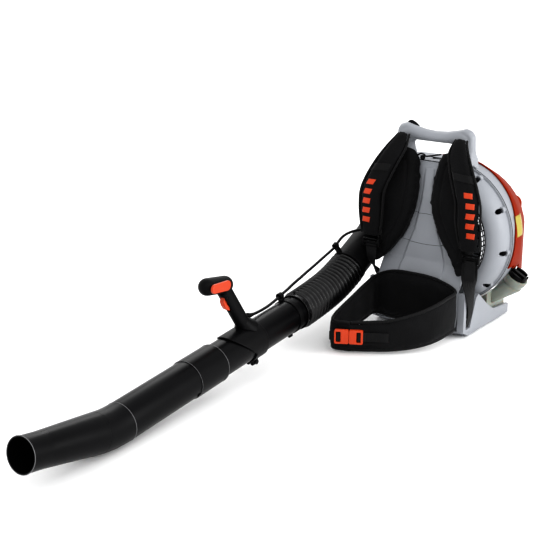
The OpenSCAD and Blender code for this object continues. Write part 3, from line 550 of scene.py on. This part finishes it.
# how steeply the hose falls at its three ends
ROOT_SLOPE, MIDDLE_SLOPE, TUBE_SLOPE = math.radians(24), math.radians(9), math.radians(4.6)
TUBE_WAY = Vector((0, -math.cos(TUBE_SLOPE), -math.sin(TUBE_SLOPE)))


def hose_arc(start, end, slope0, slope1, count):
    """Points and directions along the arc between two ends whose slopes (radians) are known."""
    radius = (start.y - end.y) / (math.sin(slope0) - math.sin(slope1))
    out = []
    for t in np.linspace(0, 1, count):
        slope = slope0 + (slope1 - slope0) * t
        point = Vector((start.x, start.y - radius * (math.sin(slope0) - math.sin(slope)),
                        start.z - radius * (math.cos(slope) - math.cos(slope0))))
        out.append((point, Vector((0, -math.cos(slope), -math.sin(slope)))))
    return out


def bellows(name, start, end, slope0, slope1, replaced, cuff=0.0, pleats=9, per=12, sides=72):
    """Half of the pleated hose: narrow crests over wide valleys, with an inner wall and a plain cuff."""
    crest, valley, wall, plain = 0.0462, 0.0392, 0.0020, 0.0418
    outer, inner = [], []
    count = pleats * per
    for i, (p, along) in enumerate(hose_arc(start, end, slope0, slope1, count + 1)):
        phase = (i % per) / per * math.tau
        radius = valley + (crest - valley) * (0.5 - 0.5 * math.cos(phase)) ** 1.3
        ahead = (1 - i / count) * (start - end).length
        if ahead < cuff:
            radius = plain + 0.0012 * math.cos(min(1, ahead / 0.004) * math.pi)
        side, up = Vector((1, 0, 0)), Vector((1, 0, 0)).cross(along)
        for ring, r in ((outer, radius), (inner, radius - wall)):
            ring.append([p + side * r * math.cos(a) + up * r * math.sin(a)
                         for a in np.linspace(0, math.tau, sides, endpoint=False)])
    o = make(name, *loft(outer + inner[::-1], round_trip=True), "hose_rubber", None, replaced)
    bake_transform(o)
    return o


def make_hose():
    bellows("hose_pleats_rear", ROOT_END, MIDDLE, ROOT_SLOPE, MIDDLE_SLOPE, ["bellows_rear"])
    bellows("hose_pleats_front", MIDDLE, TUBE_END, MIDDLE_SLOPE, TUBE_SLOPE,
            ["bellows_front"], cuff=0.018)


# the routes of the throttle cable and of the harness, in millimetres
CABLE_PACK = [(-122, 2, 217), (-131, 0, 219), (-143, -6, 224), (-154, -16, 227), (-166, -30, 228),
              (-177, -44, 227), (-186, -58, 224), (-193, -72, 219), (-197, -84, 212), (-199, -96, 203),
              (-200, -108, 195), (-200, -125, 190), (-200, -145, 185)]
CABLE_HOSE = [(-200, -145, 185), (-200, -165, 180), (-200, -185, 175), (-199, -205, 171),
              (-199, -235, 164), (-198, -262, 158)]
CABLE_TUBE = [(-198, -262, 158), (-198, -280, 154), (-198, -300, 149), (-197, -320, 144),
              (-197, -338, 140), (-196, -355, 136), (-196, -372, 132), (-195, -390, 129),
              (-195, -410, 126), (-194, -435, 125), (-192, -458, 126), (-189, -476, 128.5),
              (-186, -488, 131), (-184, -499, 133.5)]


def make_cables():
    """The throttle cable, in three stretches that meet at the joints of the hose."""
    def stretch(name, route, body, node):
        line = [p * MM for p in smooth_line(route, 5)]
        o = tube(name, line, 0.0035, "cable_sheath", body, replaced=[node])
        return o

    pack = stretch("cable_at_pack", CABLE_PACK, None, "cable_pack")
    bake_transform(pack)
    hose = stretch("cable_at_hose", CABLE_HOSE, None, "cable_hose")
    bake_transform(hose)
    stretch("cable_at_tube", CABLE_TUBE, "tube", "cable_tube")
    boot = [p * MM for p in smooth_line(CABLE_TUBE[-4:], 6)][4:]
    tube("cable_boot", boot, list(np.linspace(0.0041, 0.0068, len(boot))), "rubber", "tube")


def make_starter_rope():
    """The rope from its pulley to its grip, drawn out with the grip and staying on the pulley below."""
    x, y, bottom, top = -26.5, 244, FAN_Z, 293
    line = [mm(x, y, z) for z in np.linspace(bottom, top, 36)]
    o = tube("starter_rope_drawn", line, 0.002, "rope", None, replaced=["starter_rope"])
    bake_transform(o)


# ---- Harness ----

PAD_EDGE = [(60, 455), (34, 447), (20, 425), (14, 385), (13, 330), (20, 290), (36, 250), (52, 222),
            (74, 192), (96, 166), (112, 152), (124, 160), (137, 190), (143, 230), (144, 280), (142, 340),
            (133, 385), (112, 430), (86, 455)]
# the right shoulder strap: x, y, z, width, turn about Z in degrees
STRAP_PATH = [(81, -3, 477, 30, 0), (82, -13, 468, 38, 0), (88, -30, 446, 54, 0),
              (102, -44, 416, 62, 0), (119, -55, 378, 66, 0), (132, -61, 340, 66, 0),
              (134, -62, 300, 66, 0), (137, -59, 262, 60, 0), (139, -54, 228, 50, 0)]
# the belt: x, y, low z, high z
BELT_PATH = [(-55, -270, 6, 78), (-12, -248, 7, 81), (30, -225, 9, 86), (70, -194, 14, 99),
             (98, -156, 20, 112), (111, -110, 26, 122), (111, -63, 30, 130), (60, -63, 28, 150),
             (0, -63, 28, 154), (-60, -63, 28, 150), (-106, -63, 30, 130), (-109, -110, 26, 120),
             (-110, -160, 20, 106), (-110, -215, 14, 92), (-109, -255, 8, 80), (-94, -277, 6, 77),
             (-54, -271, 6, 77)]
BUCKLE = (-56, -270, 46)                 # middle of the buckle
BUCKLE_TURN = math.radians(26.6)
WEB_HALF = 11                            # half the width of the belt's web


def copy_node(name, node):
    o = bpy.data.objects.new(name, NODES[node].data.copy())
    bpy.context.collection.objects.link(o)
    return o


def inset(line, by):
    """A closed flat outline moved inwards by a distance."""
    pts = [Vector(p) for p in line]
    area = sum(a.x * b.y - b.x * a.y for a, b in zip(pts, pts[1:] + pts[:1]))
    turn = 1 if area > 0 else -1
    out = []
    for i, p in enumerate(pts):
        along = (pts[(i + 1) % len(pts)] - pts[i - 1]).normalized()
        out.append(p + Vector((-along.y, along.x)) * by * turn)
    return out


def make_back_pads():
    for side, name in ((1, "right"), (-1, "left")):
        node = "back_pad_" + name
        o = copy_node("pad_" + name, node)
        bpy.context.view_layer.objects.active = o
        # the cover is cut smaller than the space it fills, then swells out to it
        co = np.array([v.co[:] for v in o.data.vertices])
        middle = (co.max(0) + co.min(0)) / 2
        co = middle + (co - middle) * (0.965, 1.0, 0.975)
        o.data.vertices.foreach_set("co", co.ravel())
        inflate(o, 0.0042, 0.006)
        bpy.context.view_layer.update()
        edge = [(side * x, z) for x, z in PAD_EDGE]
        closed = smooth_line(edge + edge[:1], 5)[:-1]
        lines = []
        for by in (9, 34):
            ring = inset([(x, z) for x, z in closed], by)
            lines.append([(p.x * MM, 0, p.y * MM) for p in ring + ring[:1]])
        groove(o, lines[:1], 0.0022, 0.0026, (0, -1, 0), [0, 2])
        groove(o, lines[1:], 0.0030, 0.0034, (0, -1, 0), [0, 2])
        ripple(o, 0.035, 0.0012, side)
        finish(o, "pad_fabric", "root", [node])


def strap_rows(side):
    """The strap's path on one side. The left strap hangs a little further in and forward than the right."""
    if side > 0:
        return STRAP_PATH
    return [((12 if z < 300 else 10) - x, y - 2, z, w, turn) for x, y, z, w, turn in STRAP_PATH]


def make_shoulder_straps():
    for side, name in ((1, "right"), (-1, "left")):
        rows = strap_rows(side)
        cut = [(x, y, z, w - 6, turn) for x, y, z, w, turn in rows]
        o = strap("strap_" + name, cut, 10, "pad_fabric", None, sides=28, edge=0.55, crown=0.2)
        inflate(o, 0.004, 0.004)
        bpy.context.view_layer.update()
        ripple(o, 0.03, 0.001, 2 + side)
        finish(o, "pad_fabric", "root", ["shoulder_strap_" + name])
        tree = tree_of(o)
        # bound edges, five plain bars of colour and a woven keeper
        line = smooth_line(rows, 8)
        for edge in (-1, 1):
            path = []
            for r in line[1:-1]:
                path.append(mm(r[0] + edge * (r[3] / 2 - 1.5), r[1], r[2]))
            place = "in" if edge * side < 0 else "out"
            tube(f"binding_{name}_{place}", path, 0.0028, "webbing", "root", 10, squeeze=1.5)
        for at in range(5):
            z = 270 + 23 * at
            near = min(line, key=lambda r: abs(r[2] - z))
            ahead = min(line, key=lambda r: abs(r[2] - z - 12))
            up = Vector(ahead[:3] - near[:3]).normalized()
            patch(f"strap_bar_{name}_{at}", tree, mm(near[0] + side * 9, near[1], z), (1, 0, 0), up,
                  (0.021, 0.014), "orange_plastic", "root", 0.0005, (8, 8),
                  lambda u, v: (u + 0.2 * v, v))
        near = min(line, key=lambda r: abs(r[2] - 398))
        ahead = min(line, key=lambda r: abs(r[2] - 410))
        patch(f"strap_keeper_{name}", tree, mm(near[0] + side * 4, near[1], 398), (1, 0, -0.08 * side),
              Vector(ahead[:3] - near[:3]), (0.052, 0.02), "webbing", "root", 0.0014, (16, 6))


def band(name, rows, thick, slot, body, edge=0.6, sides=40, replaced=()):
    """An upright band through rows (x, y, low z, high z) in millimetres. Also gives its two edges."""
    rings, top, bottom = [], [], []
    for i, (x, y, lo, hi) in enumerate(rows):
        before, after = rows[max(i - 1, 0)], rows[min(i + 1, len(rows) - 1)]
        along = Vector((after[0] - before[0], after[1] - before[1], 0)).normalized()
        out = Vector((along.y, -along.x, 0))
        centre, half = mm(x, y, (lo + hi) / 2), (hi - lo) / 2 * MM
        ring = []
        for a in np.linspace(0, math.tau, sides, endpoint=False):
            c, s = math.cos(a), math.sin(a)
            u = math.copysign(abs(c) ** edge, c)
            w = math.copysign(abs(s) ** 0.8, s)
            ring.append(centre + Vector((0, 0, 1)) * half * u + out * thick * MM / 2 * w)
        rings.append(ring)
        top.append(centre + Vector((0, 0, half + 0.0005)))
        bottom.append(centre - Vector((0, 0, half + 0.0005)))
    return make(name, *loft(rings), slot, body, replaced), top, bottom


def make_belt():
    rows = smooth_line([(x, y, lo + 3, hi - 3) for x, y, lo, hi in BELT_PATH], 10)
    o, top, bottom = band("belt_pad", rows, 13, "pad_fabric", None)
    bound = np.array(top + bottom)
    # the bound edges hold the cover, so only the cloth between them swells
    inflate(o, 0.0048, 0.0035, lambda *point: min(1, np.linalg.norm(bound - point, axis=1).min() / 0.016))
    bpy.context.view_layer.update()
    ripple(o, 0.05, 0.0022, 5)
    finish(o, "pad_fabric", "root", ["hip_belt"])
    for name, line in (("top", top), ("bottom", bottom)):
        tube("belt_binding_" + name, line, 0.0032, "webbing", "root", 12, squeeze=1.3)


def at_buckle(along, out, z):
    """A point given from the buckle's middle: along the belt, outwards and up, in millimetres."""
    c, s = math.cos(BUCKLE_TURN), math.sin(BUCKLE_TURN)
    return (BUCKLE[0] + along * c + out * s, BUCKLE[1] + along * s - out * c, BUCKLE[2] + z)


def make_webbing():
    """Adjusting webs below the shoulder straps, and the belt's web through its buckle."""
    right = [(140, -52, 212, 40, 0), (140, -52, 196, 40, 0), (139.5, -51, 165, 38, 25),
             (138, -42, 132, 34, 66), (135.5, -30, 100, 30, 84), (132, -20, 62, 26, 90),
             (126, -24.5, 28, 17, 90)]
    left = [(-124, -58, 212, 30, 0), (-124, -59, 196, 30, 0), (-119.5, -63, 165, 26, -20),
            (-118.5, -51, 143, 24, -60), (-118.5, -27, 121, 22, -86), (-118.5, -25, 100, 22, -90),
            (-118.5, -24, 62, 20, -90), (-118.5, -24, 27, 20, -90)]
    strap("web_right", right, 2.2, "webbing", "root", edge=0.35, replaced=["strap_webbing"])
    strap("web_left", left, 2.2, "webbing", "root", edge=0.35)
    # loose tail of the right-hand web, folded back below its adjuster
    strap("web_tail", [(143, -57, 205, 26, 0), (144, -60, 190, 26, 4), (144, -62, 172, 26, 8),
                       (143, -61, 156, 26, 12)], 2.0, "webbing", "root", edge=0.35)
    moulded("ladder_locks", ["strap_adjusters"], "black_plastic", "root", 0.0011, 3, 0.5)
    # each web is looped through its half of the buckle: along the belt, outwards
    plug = [(92, 12.5), (60, 12.8), (38, 13.5), (32, 17), (27, 18.5), (21, 18.5), (18, 15), (14, 11), (6, 10)]
    socket = [(-8, 10), (-15, 11), (-19, 15), (-21, 18.5), (-27, 18.5), (-31, 16), (-36, 12), (-46, 10.5)]
    for name, loop, body, replaced in (("plug_web", plug, "buckle_half", ["plug_webbing"]),
                                       ("socket_web", socket, "root", ())):
        rows = [(*at_buckle(a, out, 0)[:2], BUCKLE[2] - WEB_HALF, BUCKLE[2] + WEB_HALF) for a, out in loop]
        band(name, smooth_line(rows, 5), 1.8, "webbing", body, 0.35, 24, replaced)


# ---- Moulded parts ----


def biggest(node):
    """The largest separate solid of a CAD node, as a new object."""
    o = copy_node(node + "_solid", node)
    work = bmesh.new()
    work.from_mesh(o.data)
    bmesh.ops.remove_doubles(work, verts=work.verts, dist=1e-6)
    left, groups = set(work.verts), []
    while left:
        group, edge = set(), [left.pop()]
        while edge:
            v = edge.pop()
            group.add(v)
            for link in v.link_edges:
                w = link.other_vert(v)
                if w in left:
                    left.remove(w)
                    edge.append(w)
        groups.append(group)
    keep = max(groups, key=lambda g: max(v.co.z for v in g) - min(v.co.z for v in g))
    bmesh.ops.delete(work, geom=[v for v in work.verts if v not in keep], context="VERTS")
    work.to_mesh(o.data)
    work.free()
    return o


HANDLE = [(-80, 420, 22), (-80, 455, 22), (-76, 472, 20), (-58, 478, 17), (-30, 475, 14), (0, 473, 13),
          (30, 475, 14), (58, 478, 17), (76, 472, 20), (80, 455, 22), (80, 420, 22)]


def round_handle(o):
    """Turns the carry handle's square section into a round one, about its centre line (x, z, half width)."""
    line = np.array(smooth_line(HANDLE, 12))
    middle_y, deep, foot = 0.024, 0.019, 0.428
    co = np.array([v.co[:] for v in o.data.vertices])
    for i in np.nonzero(co[:, 2] > foot)[0]:
        p = co[i, [0, 2]] / MM
        k = int(np.argmin(np.hypot(line[:, 0] - p[0], line[:, 1] - p[1])))
        away = p - line[k, :2]
        a = min(1.0, np.linalg.norm(away) / line[k, 2])
        b = max(-1.0, min(1.0, (co[i, 1] - middle_y) / deep))
        amount = min(1.0, (co[i, 2] - foot) / 0.02)
        new = line[k, :2] + away * (1 - amount + amount * math.sqrt(1 - b * b / 2))
        co[i] = (new[0] * MM, co[i, 1] + amount * deep * b * (math.sqrt(1 - a * a / 2) - 1), new[1] * MM)
    o.data.vertices.foreach_set("co", co.ravel())
    o.data.update()


def make_moulded_parts():
    frame = moulded("pack_frame", ["backplate"], "shell_grey", "root", 0.0018, 4, 0.5)
    round_handle(frame)
    soft = frame.modifiers.new("soft", "SMOOTH")
    soft.iterations = 6
    bake(frame)
    moulded("grip", ["grip_shell_left", "grip_shell_right"], "grip_plastic", "tube", 0.0013, 5, 0.4)
    moulded("collar", ["handle_collar"], "black_plastic", "tube", 0.0013, 3, 0.4)
    moulded("lever", ["setting_lever"], "orange_plastic", "lever", 0.0008, 4, 0.5)
    moulded("trigger", ["throttle_trigger"], "orange_plastic", "trigger", 0.0008, 4, 0.5)
    moulded("buckle_female", [], "orange_plastic", "root", 0.0008, 4, 0.5,
            extra=[biggest("buckle_socket")])
    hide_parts("buckle_socket")
    moulded("buckle_male", ["buckle_plug"], "orange_plastic", "buckle_half", 0.0008, 4, 0.5)


def ring(name, centre, along, radius, thick, body):
    """A thin bead round a tube, lighter grey as a painted highlight."""
    up = Vector((1, 0, 0)).cross(along)
    line = [centre + radius * (Vector((1, 0, 0)) * math.cos(a) + up * math.sin(a))
            for a in np.linspace(0, math.tau, 72, endpoint=False)]
    o = tube(name, line, thick, "tube_plastic", body, 8, round_trip=True)
    o.data.materials[0] = EDGE_PAINTED_HIGHLIGHT


def make_details():
    # shroud and filter cover: orange darkened as painted shade
    for node in ("engine_shroud", "filter_cover"):
        NODES[node].data.materials[0] = SHROUD_ORANGE_PAINTED_SHADE
    tree = tree_of(NODES["engine_shroud"])
    sticker = patch("blank_sticker", tree, mm(183, 131, 257), (0, 1, 0), (-0.18, 0, 0.98), (0.046, 0.052),
                    "orange_plastic", "root", 0.0004, (8, 10))
    sticker.data.materials[0] = STICKER_YELLOW
    frame = tree_of(bpy.data.objects["pack_frame"])
    # fine moulding lines across the backplate
    for name, route in (("upper", [(-44, 291), (-20, 289), (0, 290), (20, 289), (44, 291)]),
                        ("lower", [(-72, 219), (-40, 216), (0, 214), (40, 216), (72, 219)])):
        line = []
        for x, z in smooth_line(route, 8):
            hit = frame.ray_cast(mm(x, -150, z), Vector((0, 1, 0)))[0]
            if hit:
                line.append(hit + mm(0, 0.15, 0))
        tube("frame_line_" + name, line, 0.0005, "black_plastic", "root", 8)
    # lip of the housing behind the grille's bars, near white as painted light showing through the slots
    section = ((136.4, 14.2), (136.4, 33), (133.5, 33), (133.5, 14.2))
    rings = [[mm(r * math.cos(a), y, FAN_Z + r * math.sin(a)) for r, y in section]
             for a in np.linspace(math.radians(-150), math.radians(150), 76)]
    lip = make("intake_lip", *loft(rings, False), "shell_grey", "root", ())
    lip.data.materials[0] = LIP_PAINTED_LIGHT
    # strap anchor: a bolt with a washer and a wire loop below the carry handle
    at = mm(-20, -3, 424)
    tube("anchor_bolt", [at, at + mm(0, -2, 0), at + mm(0, -4, 0), at + mm(0, -6, 0)],
         [0.0065, 0.0065, 0.0045, 0.0036], "black_plastic", "root", 12)
    loop = [at + mm(x, -4, z)
            for x, z in ((-13, 0), (-10, 7), (-3, 10), (5, 9), (10, 5), (26, 8), (50, 14))]
    tube("anchor_wire", smooth_line(loop, 6), 0.0020, "black_plastic", "root", 10)
    # clip behind the left end of the handle
    clip = [mm(-84, 38, 492), mm(-78, 37, 498), mm(-72, 36, 498.5), mm(-62, 35, 494), mm(-54, 34, 488)]
    tube("handle_clip", smooth_line(clip, 5), 0.0035, "black_plastic", "root", 10, squeeze=1.4)
    # beads round the sleeves of the tube, and round the edge of the mouth, lighter grey as painted highlights
    for name, station, radius, body in (("sleeve_start", 313.5, 43.7, "extension"),
                                        ("sleeve_end", 405, 43.0, "extension"),
                                        ("nozzle_start", 615, 42.1, "nozzle_body")):
        ring("bead_" + name, TUBE_END + TUBE_WAY * station * MM, TUBE_WAY, radius * MM, 0.0005, body)
    tip = math.radians(9.3)
    ring("mouth_edge", mm(TUBE_X / MM, -1201.7, 77.5), Vector((0, -math.cos(tip), math.sin(tip))),
         0.0362, 0.0006, "nozzle_body")


make_camera()
make_stage()
make_hose()
make_cables()
make_starter_rope()
make_back_pads()
make_shoulder_straps()
make_belt()
make_webbing()
make_moulded_parts()
for node in NODES:
    if not NODES[node].hide_render:
        finish_cad(node)
make_details()
